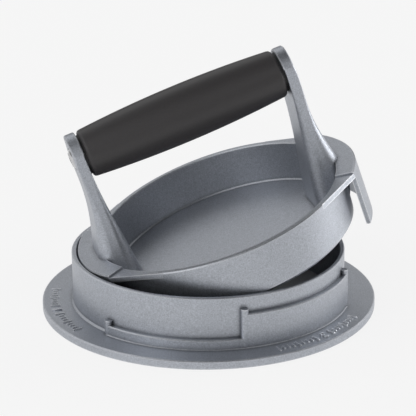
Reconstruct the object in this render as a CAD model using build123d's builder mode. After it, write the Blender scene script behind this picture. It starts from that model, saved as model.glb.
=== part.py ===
from build123d import *
import os
from math import acos, cos, degrees, hypot, radians, sin

os.makedirs("parts", exist_ok=True)

# All lengths are in millimetres and all angles in degrees.

# Ring: one casting with a flat flange, an upright wall and stepped ledges for the tabs
bore_radius = 58.0
wall_thickness = 2.0
ring_height = 26.1
flange_width = 13.5
flange_thickness = 3.8
ledge_width = 2.5
low_ledge_height = 8.2
high_ledge_height = 19.0
post_radius = 1.7
post_rise = 2.0
post_proud = 0.2
wall_foot_bevel = 0.8
ledge_foot_bevel = 0.4
ring_edge_bevel = 0.4

# The steps repeat twice round the ring: bare, low ledge, high ledge, with a post at each change
repeat_count = 2
first_post_angle = 46.0
low_ledge_angle = 58.0
high_ledge_angle = 60.5

# Press plate: a shallow dish with two ears, two hanging tabs and two arms, all one casting
bore_clearance = 0.4
dish_depth = 21.8
dish_draft = 1.0
floor_thickness = 3.4
rim_width = 2.8
cavity_draft = 1.0
bottom_bevel = 1.4
cavity_bevel = 0.6
rim_bevel = 0.4
ear_thickness = 2.3
pad_rise = 0.9
ear_half_angle = 26.0
ear_arc_radius = 55.0
ear_bevel = 0.5
tab_thickness = 2.0
tab_wall_clearance = 2.4
tab_half_angle = 25.0
tab_overhang = 3.9
tab_bevel = 0.6

# Arms: broad at the foot, flared over the ear, thin and round at the top
grip_height = 45.2
arm_top_radius = 10.6
arm_top_half_width = 9.9
arm_top_thickness = 4.6
arm_edge_round = 0.8
arm_top_bevel = 0.4
arm_waist_height = 26.0
arm_waist_half_width = 9.6
arm_waist_set_in = 0.8
arm_waist_set_out = 0.6
arm_blend_height = 11.0
arm_blend_half_width = 10.3
arm_blend_set_in = 2.5
arm_blend_set_out = 3.2
arm_rim_half_width = 11.8
arm_rim_set_in = 3.9
arm_rim_flare = 2.0
arm_foot_half_width = 15.0
arm_foot_set_in = 5.8
arm_foot_bury = 0.5
arm_foot_inner_round = 6.0

# Grip: a soft barrel on a rigid core, held by a tapped rod and two dome-head screws
grip_length = 90.6
grip_end_radius = 10.6
grip_middle_radius = 12.4
grip_end_round = 1.6
core_radius = 8.5
core_clearance = 0.05
rod_radius = 4.0
rod_clearance = 0.1
spacer_thickness = 0.9
spacer_radius = 8.8
screw_radius = 2.5
screw_clearance = 0.15
thread_depth = 12.0
thread_clearance = 0.05
head_radius = 4.7
head_height = 2.2
head_edge = 0.6
recess_depth = 1.0
recess_clearance = 0.5
socket_width = 3.0
socket_depth = 1.5

# The plate leans in the ring: one tab stands in the bore, and the far side lies up on the rim
lean_azimuth = 17.4
plate_turn = -3.5
rest_gap = 0.35
side_gap = 0.5

# Sizes worked out from those above
wall_radius = bore_radius + wall_thickness
flange_radius = wall_radius + flange_width
ledge_radius = wall_radius + ledge_width
repeat_angle = 360.0 / repeat_count
rim_radius = bore_radius - bore_clearance
bottom_radius = rim_radius - dish_draft
cavity_radius = rim_radius - rim_width
cavity_depth = dish_depth - floor_thickness
ear_reach = wall_radius + tab_wall_clearance + tab_thickness
ear_centre = ear_reach - ear_arc_radius
tab_length = dish_depth + tab_overhang
arm_inner = grip_length / 2 + spacer_thickness
arm_outer = arm_inner + arm_top_thickness
shank_length = arm_top_thickness - recess_depth + spacer_thickness + thread_depth


def polar(radius, angle):
    """A point in plan, from its distance to the axis and its angle."""
    return (radius * cos(radians(angle)), radius * sin(radians(angle)))


def ear_radius(angle):
    """How far the ear's outer arc lies from the dish's axis, at an angle from the handle."""
    across = ear_centre * sin(radians(angle))
    return ear_centre * cos(radians(angle)) + (ear_arc_radius**2 - across**2) ** 0.5


def arm_section(height, inner, outer, half_width, inner_round, outer_round):
    """One level of the right arm: a rectangle in plan with rounds that its thickness has room for."""
    share = min(1, 0.9 * (outer - inner) / (inner_round + outer_round))
    with BuildSketch(Plane.XY.offset(height)) as level:
        with Locations(((inner + outer) / 2, 0)):
            Rectangle(outer - inner, 2 * half_width)
        fillet(level.vertices().group_by(Axis.X)[-1], share * outer_round)
        fillet(level.vertices().group_by(Axis.X)[0], share * inner_round)
    return level.sketch


def leaning_height(lean):
    """Height of the rim's centre when the lower tab stands on the table."""
    return rest_gap + ear_reach * sin(lean) + tab_length * cos(lean)


def leaning_shift(lean):
    """How far the rim's centre lies off the ring's axis when the lower ear is at the bore."""
    return ear_reach * cos(lean) + pad_rise * sin(lean) + side_gap - bore_radius


def rim_gap(lean):
    """Least distance between the plate's bevelled lower edge and the top edge of the bore."""
    inset = bottom_bevel / (2 - 2**0.5)
    circle = bottom_radius - inset
    depth = dish_depth - inset
    nearest = ring_height + flange_radius
    for turn in range(0, 360, 2):
        forward = circle * cos(radians(turn))
        along = leaning_shift(lean) + depth * sin(lean) + forward * cos(lean)
        height = leaning_height(lean) - depth * cos(lean) + forward * sin(lean)
        off_axis = hypot(along, circle * sin(radians(turn)))
        nearest = min(nearest, hypot(off_axis - bore_radius, height - ring_height))
    return nearest - hypot(inset, inset - bottom_bevel)


# The lean is the least one at which the lower edge rests on the rim
flat_lean, steep_lean = radians(14.0), radians(35.0)
for _ in range(40):
    lean = (flat_lean + steep_lean) / 2
    if rim_gap(lean) > rest_gap:
        steep_lean = lean
    else:
        flat_lean = lean
print("lean", round(degrees(lean), 2), "height", round(leaning_height(lean), 2),
      "shift", round(leaning_shift(lean), 2))

lean_x, lean_y = polar(leaning_shift(lean), lean_azimuth)
rise_x, rise_y = polar(cos(lean), lean_azimuth)
lean_plane = Plane(
    origin=(lean_x, lean_y, leaning_height(lean)),
    x_dir=(rise_x, rise_y, sin(lean)),
    z_dir=(*polar(-sin(lean), lean_azimuth), cos(lean)),
).rotated((0, 0, plate_turn))

# Base ring, turned about its own axis
with BuildPart() as base_ring:
    with BuildSketch(Plane.XZ):
        with BuildLine():
            Polyline(
                (bore_radius, 0),
                (flange_radius, 0),
                (flange_radius, flange_thickness),
                (wall_radius, flange_thickness),
                (wall_radius, ring_height),
                (bore_radius, ring_height),
                close=True,
            )
        make_face()
    revolve(axis=Axis.Z)
    wall_foot = base_ring.edges().filter_by(GeomType.CIRCLE).filter_by(
        lambda edge: abs(edge.radius - wall_radius) < ring_edge_bevel
        and edge.center().Z < ring_height / 2
    )
    chamfer(wall_foot, wall_foot_bevel)
    rim_and_flange = base_ring.edges().filter_by(GeomType.CIRCLE).filter_by(
        lambda edge: edge.center().Z > ring_height - ring_edge_bevel
        or edge.radius > flange_radius - ring_edge_bevel
    )
    chamfer(rim_and_flange, ring_edge_bevel)
    # A ledge is a square step with a small bevel at its foot and a broken upper edge
    for repeat in range(repeat_count):
        low_start = first_post_angle + repeat * repeat_angle
        high_start = low_start + low_ledge_angle
        high_end = high_start + high_ledge_angle
        for start, span, ledge_height in ((low_start, low_ledge_angle, low_ledge_height),
                                          (high_start, high_ledge_angle, high_ledge_height)):
            with BuildSketch(Plane.XZ.rotated((0, 0, start))):
                with BuildLine():
                    Polyline((wall_radius - post_radius, flange_thickness / 2),
                             (ledge_radius + ledge_foot_bevel, flange_thickness / 2),
                             (ledge_radius + ledge_foot_bevel, flange_thickness),
                             (ledge_radius, flange_thickness + ledge_foot_bevel),
                             (ledge_radius, ledge_height - ring_edge_bevel),
                             (ledge_radius - ring_edge_bevel, ledge_height),
                             (wall_radius - post_radius, ledge_height),
                             close=True)
                make_face()
            revolve(axis=Axis.Z, revolution_arc=span)
        # The posts stop a tab at the ends of its step
        for angle, neighbour in ((low_start, low_ledge_height), (high_start, high_ledge_height),
                                 (high_end, high_ledge_height)):
            with BuildSketch(Plane.XY.offset(flange_thickness / 2)):
                with Locations(polar(ledge_radius + post_proud - post_radius, angle)):
                    Circle(post_radius)
            extrude(amount=neighbour + post_rise - flange_thickness / 2)
base_ring.part.label = "base_ring"
export_step(base_ring.part, "parts/base_ring.step")

# Right arm of the plate, in the plate's own frame: rim plane at height 0, handle along X
arm_crease = grip_height + (arm_top_radius**2 - arm_top_half_width**2) ** 0.5
arm_levels = (
    (-cavity_depth - arm_foot_bury, arm_inner - arm_foot_set_in, cavity_radius + arm_foot_bury,
     arm_foot_half_width, arm_foot_inner_round, arm_foot_half_width / 2),
    (pad_rise / 2, arm_inner - arm_rim_set_in, cavity_radius + arm_rim_flare,
     arm_rim_half_width, 0.75 * arm_foot_inner_round, arm_rim_half_width / 2),
    (arm_blend_height, arm_inner - arm_blend_set_in, arm_outer + arm_blend_set_out,
     arm_blend_half_width, 4 * arm_edge_round, arm_blend_half_width / 2.5),
    (arm_waist_height, arm_inner - arm_waist_set_in, arm_outer + arm_waist_set_out,
     arm_waist_half_width, 2 * arm_edge_round, 2 * arm_edge_round),
    (arm_crease, arm_inner, arm_outer, arm_top_half_width, arm_edge_round, arm_edge_round),
)
with BuildPart() as arm:
    for level in arm_levels:
        add(arm_section(*level))
    loft()
    # The round top stands on the arm's last level
    with BuildSketch(Plane.YZ.offset(arm_inner)):
        with Locations((0, grip_height)):
            Circle(arm_top_radius)
        with Locations((0, arm_crease)):
            Rectangle(4 * arm_top_radius, 2 * arm_top_radius, align=(Align.CENTER, Align.MAX),
                      mode=Mode.SUBTRACT)
    extrude(amount=arm_top_thickness)
    top_arcs = arm.edges().filter_by(GeomType.CIRCLE).filter_by(
        lambda edge: abs(edge.radius - arm_top_radius) < arm_top_bevel
    )
    chamfer(top_arcs, arm_top_bevel)

# Right ear of the plate, with its raised pad and hanging tab
ear_tangent = ear_half_angle + degrees(acos(rim_radius / ear_radius(ear_half_angle)))
ear_corner = polar(ear_radius(ear_half_angle), ear_half_angle)
rim_touch = polar(rim_radius, ear_tangent)
pad_root = polar(cavity_radius - rim_bevel, ear_half_angle)
with BuildPart() as ear:
    # It runs tangent out of the rim to a wide arc
    for root, layer, rise in ((rim_touch, -ear_thickness, ear_thickness), (pad_root, 0, pad_rise)):
        with BuildSketch(Plane.XY.offset(layer)):
            with BuildLine():
                Line((root[0], -root[1]), (ear_corner[0], -ear_corner[1]))
                ThreePointArc((ear_corner[0], -ear_corner[1]), (ear_reach, 0), ear_corner)
                Polyline(ear_corner, root, (root[0], -root[1]))
            make_face()
        extrude(amount=rise)
    chamfer(ear.edges().group_by(Axis.Z)[-1].sort_by(Axis.X)[-1], ear_bevel)
    with BuildSketch(Plane.XY.offset(-ear_thickness)):
        with BuildLine():
            Polyline((0, 0), polar(2 * ear_reach, tab_half_angle), polar(2 * ear_reach, -tab_half_angle),
                     close=True)
        make_face()
        with Locations((ear_centre, 0)):
            Circle(ear_arc_radius, mode=Mode.INTERSECT)
            Circle(ear_arc_radius - tab_thickness, mode=Mode.SUBTRACT)
    extrude(amount=ear_thickness - tab_length)
    chamfer(ear.edges().group_by(Axis.Z)[0], tab_bevel)

# Press plate, in the same frame
with BuildPart() as press_plate:
    # Outside of the dish
    with BuildSketch(Plane.XZ):
        with BuildLine():
            Polyline((0, 0), (rim_radius - rim_bevel, 0), (rim_radius, -rim_bevel),
                     (bottom_radius, bottom_bevel - dish_depth), (bottom_radius - bottom_bevel, -dish_depth),
                     (0, -dish_depth), close=True)
        make_face()
    revolve(axis=Axis.Z)
    add(ear.part)
    mirror(ear.part, about=Plane.YZ)
    # Inside of the dish, with a bevelled lip and a bevelled foot to its wall
    with BuildSketch(Plane.XZ):
        with BuildLine():
            Polyline((0, -cavity_depth), (0, 2 * pad_rise), (cavity_radius + rim_bevel, 2 * pad_rise),
                     (cavity_radius + rim_bevel, 0), (cavity_radius, -rim_bevel),
                     (cavity_radius - cavity_draft, cavity_bevel - cavity_depth),
                     (cavity_radius - cavity_draft - cavity_bevel, -cavity_depth), close=True)
        make_face()
    revolve(axis=Axis.Z, mode=Mode.SUBTRACT)
    # Arms, with a hole and a screw recess at the grip's height
    add(arm.part)
    mirror(arm.part, about=Plane.YZ)
    for side in (1, -1):
        with Locations(Plane(origin=(side * arm_outer, 0, grip_height), x_dir=(0, 1, 0), z_dir=(side, 0, 0))):
            CounterBoreHole(screw_radius + screw_clearance, head_radius + recess_clearance, recess_depth,
                            depth=2 * arm_top_thickness)
        # Flat seat for the spacer on the arm's inner side
        with BuildSketch(Plane(origin=(side * arm_inner, 0, grip_height), x_dir=(0, 1, 0), z_dir=(-side, 0, 0))):
            Circle(spacer_radius + screw_clearance)
        extrude(amount=spacer_thickness, mode=Mode.SUBTRACT)
press_plate.part.label = "press_plate"
press_plate.part.location = lean_plane.location
export_step(press_plate.part, "parts/press_plate.step")

# Grip sleeve: a soft barrel, turned about the handle's own axis
handle_axis = Axis((0, 0, grip_height), (1, 0, 0))
with BuildPart() as grip_sleeve:
    with BuildSketch(Plane.XZ):
        with BuildLine():
            ThreePointArc((grip_end_round - grip_length / 2, grip_height + grip_end_radius),
                          (0, grip_height + grip_middle_radius),
                          (grip_length / 2 - grip_end_round, grip_height + grip_end_radius))
            # The rounded ends are three short chords each
            for side in (1, -1):
                Polyline(*(
                    (side * (grip_length / 2 - grip_end_round * (1 - cos(radians(turn)))),
                     grip_height + grip_end_radius - grip_end_round * (1 - sin(radians(turn))))
                    for turn in (90, 60, 30, 0)
                ), (side * grip_length / 2, grip_height + core_radius))
            Line((grip_length / 2, grip_height + core_radius), (-grip_length / 2, grip_height + core_radius))
        make_face()
    revolve(axis=handle_axis)
grip_sleeve.part.label = "grip_sleeve"
grip_sleeve.part.location = lean_plane.location
export_step(grip_sleeve.part, "parts/grip_sleeve.step")

# Rigid core that the sleeve is moulded round
handle_end = Plane(origin=(-grip_length / 2, 0, grip_height), x_dir=(0, 1, 0), z_dir=(1, 0, 0))
with BuildPart() as grip_core:
    with BuildSketch(handle_end):
        Circle(core_radius - core_clearance)
        Circle(rod_radius + rod_clearance, mode=Mode.SUBTRACT)
    extrude(amount=grip_length)
grip_core.part.label = "grip_core"
grip_core.part.location = lean_plane.location
export_step(grip_core.part, "parts/grip_core.step")

# Tie rod, tapped at both ends
with BuildPart() as tie_rod:
    with BuildSketch(handle_end):
        Circle(rod_radius)
    extrude(amount=grip_length)
    for end in (1, -1):
        with Locations(Plane(origin=(end * grip_length / 2, 0, grip_height), x_dir=(0, 1, 0), z_dir=(end, 0, 0))):
            Hole(screw_radius + thread_clearance, depth=thread_depth + screw_radius)
tie_rod.part.label = "tie_rod"
tie_rod.part.location = lean_plane.location
export_step(tie_rod.part, "parts/tie_rod.step")

# At each end: a dark spacer between arm and grip, and a dome-head screw through the arm into the rod
for name, side in (("right", 1), ("left", -1)):
    with BuildPart() as spacer:
        with BuildSketch(Plane(origin=(side * grip_length / 2, 0, grip_height), x_dir=(0, 1, 0),
                               z_dir=(side, 0, 0))):
            Circle(spacer_radius)
            Circle(screw_radius + screw_clearance, mode=Mode.SUBTRACT)
        extrude(amount=spacer_thickness)
    spacer.part.label = f"{name}_spacer"
    spacer.part.location = lean_plane.location
    export_step(spacer.part, f"parts/{name}_spacer.step")

    # Half section of the screw, drawn outward from the seat of its head
    head_seat = side * (arm_outer - recess_depth)
    with BuildPart() as screw:
        with BuildSketch(Plane(origin=(head_seat, 0, grip_height), x_dir=(side, 0, 0), z_dir=(0, -side, 0))):
            with BuildLine():
                Polyline((head_height, 0), (-shank_length, 0), (-shank_length, screw_radius),
                         (0, screw_radius), (0, head_radius), (head_edge, head_radius),
                         ((head_edge + head_height) / 2, 0.85 * head_radius),
                         (head_height, socket_width), close=True)
            make_face()
        revolve(axis=handle_axis)
        with BuildSketch(Plane(origin=(head_seat + side * head_height, 0, grip_height), x_dir=(0, 1, 0),
                               z_dir=(-side, 0, 0))):
            RegularPolygon(socket_width / 2, 6, major_radius=False)
        extrude(amount=socket_depth, mode=Mode.SUBTRACT)
    screw.part.label = f"{name}_screw"
    screw.part.location = lean_plane.location
    export_step(screw.part, f"parts/{name}_screw.step")
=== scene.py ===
from math import cos, radians, sin

import bpy
from mathutils import Matrix, Vector


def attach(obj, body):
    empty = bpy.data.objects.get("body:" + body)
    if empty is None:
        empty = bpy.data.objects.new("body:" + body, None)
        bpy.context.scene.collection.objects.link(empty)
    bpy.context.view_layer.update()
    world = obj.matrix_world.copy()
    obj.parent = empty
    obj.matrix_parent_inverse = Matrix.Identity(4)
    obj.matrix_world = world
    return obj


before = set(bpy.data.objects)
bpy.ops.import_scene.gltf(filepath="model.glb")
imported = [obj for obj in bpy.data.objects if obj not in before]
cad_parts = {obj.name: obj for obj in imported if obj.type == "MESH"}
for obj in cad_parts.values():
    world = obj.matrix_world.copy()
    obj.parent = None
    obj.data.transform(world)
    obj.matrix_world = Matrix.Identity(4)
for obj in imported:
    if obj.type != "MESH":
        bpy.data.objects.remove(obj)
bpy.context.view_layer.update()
print("frame loaded:", ", ".join(sorted(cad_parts)))

mm = 0.001


# The ring's own sizes, measured on its mesh in the frame
def measureRing(rimWidth=1 * mm):
    corners = [corner.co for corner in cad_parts["base_ring"].data.vertices]
    flangeRadius = max(corner.xy.length for corner in corners)
    return {
        "boreRadius": min(corner.xy.length for corner in corners),
        "flangeRadius": flangeRadius,
        "flangeTop": max(corner.z for corner in corners if corner.xy.length > flangeRadius - rimWidth),
    }


ring = measureRing()


# Camera, as in the photograph: a long lens, low over the table, with its angles in degrees
photoCamera = {
    "place": (0, -0.8086, 0.3381),
    "pitchDown": 19.99,
    "turn": -0.012,
    "roll": -0.65,
    "lens": 170.3,
    "sensor": 36,
    "nearest": 0.05,
    "farthest": 60,
}


def makeCamera(look):
    lens = bpy.data.cameras.new("photoCamera")
    lens.lens = look["lens"]
    lens.sensor_width = look["sensor"]
    lens.clip_start = look["nearest"]
    lens.clip_end = look["farthest"]
    camera = bpy.data.objects.new("photoCamera", lens)
    bpy.context.scene.collection.objects.link(camera)
    camera.matrix_world = (
        Matrix.Translation(look["place"])
        @ Matrix.Rotation(radians(look["turn"]), 4, "Z")
        @ Matrix.Rotation(radians(90 - look["pitchDown"]), 4, "X")
        @ Matrix.Rotation(radians(look["roll"]), 4, "Z")
    )
    bpy.context.scene.camera = camera


makeCamera(photoCamera)
print("camera made")


# Shader maths written as Python: a wire is a node's output
class Wire:
    def __init__(self, board, socket):
        self.board = board
        self.socket = socket

    def maths(self, operation, first, second):
        return self.board.node("Math", {"operation": operation}, {0: first, 1: second})

    def __add__(self, other):
        return self.maths("ADD", self, other)

    def __radd__(self, other):
        return self.maths("ADD", other, self)

    def __sub__(self, other):
        return self.maths("SUBTRACT", self, other)

    def __rsub__(self, other):
        return self.maths("SUBTRACT", other, self)

    def __mul__(self, other):
        return self.maths("MULTIPLY", self, other)

    def __rmul__(self, other):
        return self.maths("MULTIPLY", other, self)


# A board is the node tree of one material or of the world
class Board:
    def __init__(self, owner):
        owner.use_nodes = True
        self.owner = owner
        self.tree = owner.node_tree
        self.tree.nodes.clear()

    def node(self, kind, settings, inputs, output=0):
        made = self.tree.nodes.new("ShaderNode" + kind)
        for name, value in settings.items():
            setattr(made, name, value)
        for name, value in inputs.items():
            if isinstance(value, Wire):
                self.tree.links.new(value.socket, made.inputs[name])
            elif isinstance(value, tuple) and len(value) == 3 and made.inputs[name].type == "RGBA":
                made.inputs[name].default_value = (*value, 1)
            else:
                made.inputs[name].default_value = value
        if made.outputs:
            return Wire(self, made.outputs[output])

    def mixColour(self, share, dark, light):
        return self.node("Mix", {"data_type": "RGBA"}, {0: share, 6: dark, 7: light}, 2)

    def noise(self, size, detail, roughness=0.5):
        place = self.node("TexCoord", {}, {}, "Object")
        return self.node("TexNoise", {}, {
            "Vector": place,
            "Scale": 1 / size,
            "Detail": detail,
            "Roughness": roughness,
        })

    def bump(self, height, depth, strength, below=None):
        inputs = {"Strength": strength, "Distance": depth, "Height": height}
        if below:
            inputs["Normal"] = below
        return self.node("Bump", {}, inputs)


noiseMean = 0.5  # what a noise gives on average


def newMaterial(name):
    return Board(bpy.data.materials.new(name))


# Cast aluminium, blasted to a fine satin grain, lighter along its edges as rubbed wear and painted
# highlight, and darker in its corners as painted shade
castFinish = {
    "dark": (0.325, 0.34, 0.371),
    "light": (0.545, 0.572, 0.623),
    # lighter colour along edges: part rubbed wear, part painted highlight
    "rubbedAndHighlight": (0.90, 0.91, 0.93),
    # painted shade colour for corners and creases
    "cornerShade": (0.10, 0.103, 0.11),
    "grainSize": 0.55 * mm,
    "skinSize": 2.2 * mm,
    "cloudSize": 28 * mm,
    "grainDetail": 2,
    "skinDetail": 3,
    "cloudDetail": 2,
    "noiseRoughness": 0.6,
    "middleTone": 0.5,  # half way from dark to light
    "grainShare": 1.8,  # each share says how far a noise moves the tone
    "skinShare": 0.35,
    "cloudShare": 0.35,
    "rubAndHighlightWidth": 0.55 * mm,  # how far in from an edge the lighter line, rubbed wear and painted highlight, reaches
    "rubAndHighlightShare": 1.5,
    "cornerShadeWidth": 2.2 * mm,  # how far out of a corner the painted shade reaches
    "cornerShadeShare": 0.9,
    "edgeSamples": 8,
    "roughness": 0.43,
    "cloudRoughness": 0.1,
    "grainRoughness": 0.12,
    "rubAndHighlightRoughness": -0.1,
    "grainDepth": 0.05 * mm,
    "skinDepth": 0.03 * mm,
    "bumpStrength": 0.5,
}


def castAluminium(name, finish):
    board = newMaterial(name)

    def openness(width, inside):  # 1 on a flat face, less along an edge or in a corner
        settings = {"samples": finish["edgeSamples"], "inside": inside, "only_local": True}
        return board.node("AmbientOcclusion", settings, {"Distance": width}, "AO")

    grain = board.noise(finish["grainSize"], finish["grainDetail"], finish["noiseRoughness"])
    skin = board.noise(finish["skinSize"], finish["skinDetail"], finish["noiseRoughness"])
    cloud = board.noise(finish["cloudSize"], finish["cloudDetail"], finish["noiseRoughness"])
    tone = finish["middleTone"] + (
        finish["grainShare"] * (grain - noiseMean)
        + finish["skinShare"] * (skin - noiseMean)
        + finish["cloudShare"] * (cloud - noiseMean)
    )
    # lighter along edges: part rubbed wear, part painted highlight
    rubAndHighlight = finish["rubAndHighlightShare"] * (1 - openness(finish["rubAndHighlightWidth"], True))
    # darker in corners and creases: painted shade
    cornerShade = finish["cornerShadeShare"] * (1 - openness(finish["cornerShadeWidth"], False))
    colour = board.mixColour(tone, finish["dark"], finish["light"])
    colour = board.mixColour(rubAndHighlight, colour, finish["rubbedAndHighlight"])
    colour = board.mixColour(cornerShade, colour, finish["cornerShade"])
    roughness = (
        finish["roughness"]
        + finish["cloudRoughness"] * (cloud - noiseMean)
        + finish["grainRoughness"] * (grain - noiseMean)
        + finish["rubAndHighlightRoughness"] * rubAndHighlight
    )
    grainBump = board.bump(grain, finish["grainDepth"], finish["bumpStrength"])
    surface = board.node("BsdfPrincipled", {}, {
        "Base Color": colour,
        "Metallic": 1.0,
        "Roughness": roughness,
        "Normal": board.bump(skin, finish["skinDepth"], finish["bumpStrength"], grainBump),
    })
    board.node("OutputMaterial", {}, {"Surface": surface})
    return board.owner


# Soft black rubber of the grip
gripFinish = {
    "dark": (0.034, 0.0315, 0.0325),
    "light": (0.05, 0.0465, 0.0485),
    "grainSize": 0.6 * mm,
    "grainDetail": 2,
    "roughness": 0.46,
    "grainRoughness": 0.1,
    "grainDepth": 0.02 * mm,
    "bumpStrength": 0.5,
}


def gripRubber(name, finish):
    board = newMaterial(name)
    grain = board.noise(finish["grainSize"], finish["grainDetail"])
    surface = board.node("BsdfPrincipled", {}, {
        "Base Color": board.mixColour(grain, finish["dark"], finish["light"]),
        "Roughness": finish["roughness"] + finish["grainRoughness"] * (grain - noiseMean),
        "Normal": board.bump(grain, finish["grainDepth"], finish["bumpStrength"]),
    })
    board.node("OutputMaterial", {}, {"Surface": surface})
    return board.owner


# Plain finishes of the small and hidden pieces, each with the same faint spots
faintSpots = {"spotSize": 0.6 * mm, "spotDetail": 2, "spotShade": 0.9, "spotRoughness": 0.08}
plainFinishes = {
    "darkPlastic": {"colour": (0.012, 0.012, 0.013), "metallic": 0.0, "roughness": 0.5, **faintSpots},
    "polishedSteel": {"colour": (0.62, 0.62, 0.63), "metallic": 1.0, "roughness": 0.22, **faintSpots},
    "drawnSteel": {"colour": (0.5, 0.5, 0.51), "metallic": 1.0, "roughness": 0.35, **faintSpots},
}


def plainMaterial(name, finish):
    board = newMaterial(name)
    spots = board.noise(finish["spotSize"], finish["spotDetail"])
    dark = tuple(finish["spotShade"] * part for part in finish["colour"])
    surface = board.node("BsdfPrincipled", {}, {
        "Base Color": board.mixColour(spots, dark, finish["colour"]),
        "Metallic": finish["metallic"],
        "Roughness": finish["roughness"] + finish["spotRoughness"] * (spots - noiseMean),
    })
    board.node("OutputMaterial", {}, {"Surface": surface})
    return board.owner


finishOfNode = {
    "base_ring": castAluminium("castAluminiumRing", castFinish),
    "press_plate": castAluminium("castAluminiumPlate", castFinish),
    "grip_sleeve": gripRubber("gripRubber", gripFinish),
    "grip_core": plainMaterial("darkPlasticCore", plainFinishes["darkPlastic"]),
    "tie_rod": plainMaterial("drawnSteel", plainFinishes["drawnSteel"]),
}
for side in ("left", "right"):
    finishOfNode[side + "_spacer"] = plainMaterial("darkPlastic", plainFinishes["darkPlastic"])
    finishOfNode[side + "_screw"] = plainMaterial("polishedSteel", plainFinishes["polishedSteel"])
for name, material in finishOfNode.items():
    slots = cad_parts[name].data.materials
    slots.clear()
    slots.append(material)
print("finishes on", len(finishOfNode), "nodes")


# Raised marks on the flange, one set by each height of step: ticks like a ruler's and a plain number
flangeMarks = {
    "numberAtTurn": {195: "1", 75: "2", 315: "3"},
    "fromEdge": 5.3 * mm,
    "rise": 0.55 * mm,
    "sink": 0.1 * mm,
    "numberSize": 6 * mm,
    "numberBevel": 0.08 * mm,
    "ticksEachSide": 9,
    "firstTick": 4,  # degrees from the middle of the number
    "tickSpacing": 2,
    "longEvery": 4,
    "longTick": 4.4 * mm,
    "shortTick": 2.6 * mm,
    "tickWidth": 0.8 * mm,
    "draft": 0.12 * mm,
    # lighter edges on the marks: part rubbed wear, part painted highlight
    "rubAndHighlightShare": 1.1,
}


def makeTicks(name, look, middle, radius):
    corners = []
    faces = []
    for side in (-1, 1):
        for count in range(look["ticksEachSide"]):
            turn = radians(middle + side * (look["firstTick"] + count * look["tickSpacing"]))
            outward = Vector((cos(turn), sin(turn), 0))
            along = Vector((-sin(turn), cos(turn), 0))
            length = look["shortTick"] if count % look["longEvery"] else look["longTick"]
            first = len(corners)
            for inset, height in ((0, -look["sink"]), (look["draft"], look["rise"])):
                for across, depth in ((-1, -1), (1, -1), (1, 1), (-1, 1)):
                    corners.append(
                        outward * (radius + depth * (length / 2 - inset))
                        + along * (across * (look["tickWidth"] / 2 - inset))
                        + Vector((0, 0, ring["flangeTop"] + height))
                    )
            faces.append([first + corner for corner in (4, 5, 6, 7)])
            for corner in range(4):
                after = (corner + 1) % 4
                faces.append([first + corner, first + after, first + 4 + after, first + 4 + corner])
            faces.append([first + corner for corner in (3, 2, 1, 0)])
    mesh = bpy.data.meshes.new(name)
    mesh.from_pydata(corners, [], faces)
    return mesh


def makeNumber(name, look, number):
    shape = bpy.data.curves.new(name, "FONT")
    shape.body = number
    shape.size = look["numberSize"]
    shape.align_x = "CENTER"
    shape.align_y = "CENTER"
    shape.extrude = (look["rise"] + look["sink"]) / 2 - look["numberBevel"]
    shape.bevel_depth = look["numberBevel"]
    return shape


def makeMarks(look, finish):
    radius = ring["flangeRadius"] - look["fromEdge"]
    centre = ring["flangeTop"] + (look["rise"] - look["sink"]) / 2
    for middle, number in look["numberAtTurn"].items():
        ticksName = "flangeTicks" + number
        figureName = "flangeNumber" + number
        ticks = bpy.data.objects.new(ticksName, makeTicks(ticksName, look, middle, radius))
        figure = bpy.data.objects.new(figureName, makeNumber(figureName, look, number))
        figure.location = (radius * cos(radians(middle)), radius * sin(radians(middle)), centre)
        figure.rotation_euler.z = radians(middle - 90)  # its top points outward
        for piece in (ticks, figure):
            piece.data.materials.append(finish)
            bpy.context.scene.collection.objects.link(piece)
            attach(piece, "ring")


# the marks get a stronger share of the rubbed wear and painted highlight along their edges
markFinish = castAluminium("castAluminiumMarks", {**castFinish, "rubAndHighlightShare": flangeMarks["rubAndHighlightShare"]})
makeMarks(flangeMarks, markFinish)
print("marks made")


# Floor: pale, plain and mostly its own glow, but inside the ring painted darker as shade and with its
# full shadow
studioFloor = {
    "reach": 8,
    "tone": 0.92,
    "glow": 0.98,
    "shade": 0.15,  # how much of the floor's shadow shows outside the ring
    # inside the ring the floor's tone is painted darker, as painted shade
    "paintedShadeTone": 0.45,
    "edge": 1 * mm,
}


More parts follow.
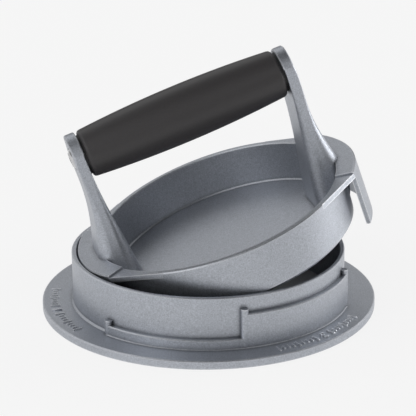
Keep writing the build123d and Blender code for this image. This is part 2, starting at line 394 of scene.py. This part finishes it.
def makeFloor(look):
    mesh = bpy.data.meshes.new("studioFloor")
    reach = look["reach"]
    corners = [(-reach, -reach, 0), (reach, -reach, 0), (reach, reach, 0), (-reach, reach, 0)]
    mesh.from_pydata(corners, [], [(0, 1, 2, 3)])
    floor = bpy.data.objects.new("studioFloor", mesh)
    bpy.context.scene.collection.objects.link(floor)
    board = newMaterial("studioFloor")
    plain = board.node("Emission", {}, {"Color": (look["glow"],) * 3, "Strength": 1.0})
    seen = 0
    for kind in ("Is Camera Ray", "Is Glossy Ray", "Is Transmission Ray"):
        ray = board.node("LightPath", {}, {}, kind)
        seen = board.node("Math", {"operation": "MAXIMUM"}, {0: seen, 1: ray})
    place = board.node("NewGeometry", {}, {}, "Position")
    offAxis = board.node("VectorMath", {"operation": "LENGTH"}, {0: place}, "Value")
    outside = board.node("MapRange", {}, {
        "Value": offAxis,
        "From Min": ring["boreRadius"],
        "From Max": ring["boreRadius"] + look["edge"],
    })
    # painted shade: the floor's tone is darker inside the ring
    tone = board.mixColour(outside, (look["paintedShadeTone"],) * 3, (look["tone"],) * 3)
    lit = board.node("BsdfDiffuse", {}, {"Color": tone})
    surface = board.node("MixShader", {}, {0: seen * outside * (1 - look["shade"]), 1: lit, 2: plain})
    board.node("OutputMaterial", {}, {"Surface": surface})
    mesh.materials.append(board.owner)


makeFloor(studioFloor)
print("floor made")


# Studio light: rows of soft boxes about the object. A turn starts at the camera's side and goes round
# to the right, and a spread is half a box's width, both in degrees. The strengths began as another
# program's fit to the photograph's tones and were adjusted afterwards. Only lowRight wasn't in that fit.
studioLight = {
    "lowRow": {
        "height": 8,
        "spread": 28,
        "strengthAtTurn": {0: 0.66, 90: 1.95, 135: 0.76, 225: 0.55, 270: 0.2, 315: 2.1},
    },
    "lowRight": {
        "height": 4,
        "spread": 20,
        "strengthAtTurn": {105: 4.0},
    },
    "highRow": {
        "height": 38,
        "spread": 30,
        "strengthAtTurn": {0: 0.31, 45: 0.84, 135: 0.76, 180: 0.84, 225: 0.87, 270: 0.88, 315: 1.26},
    },
    "overhead": {
        "height": 65,
        "spread": 30,
        "strengthAtTurn": {90: 0.13},
    },
}


def lightStudio(look):
    world = bpy.data.worlds.new("studioLight")
    bpy.context.scene.world = world
    board = Board(world)
    direction = board.node("TexCoord", {}, {}, "Generated")
    glow = 0
    for row in look.values():
        flat = cos(radians(row["height"]))
        rise = sin(radians(row["height"]))
        for turn, strength in row["strengthAtTurn"].items():
            facing = board.node("VectorMath", {"operation": "DOT_PRODUCT"}, {
                0: direction,
                1: (flat * sin(radians(turn)), -flat * cos(radians(turn)), rise),
            }, "Value")
            box = board.node("MapRange", {"interpolation_type": "SMOOTHSTEP"}, {
                "Value": facing,
                "From Min": cos(radians(row["spread"])),
            })
            glow = glow + strength * box
    sky = board.node("Background", {}, {"Color": glow, "Strength": 1.0})
    board.node("OutputWorld", {}, {"Surface": sky})


lightStudio(studioLight)
bpy.context.scene.view_settings.view_transform = "Standard"
print("light made")
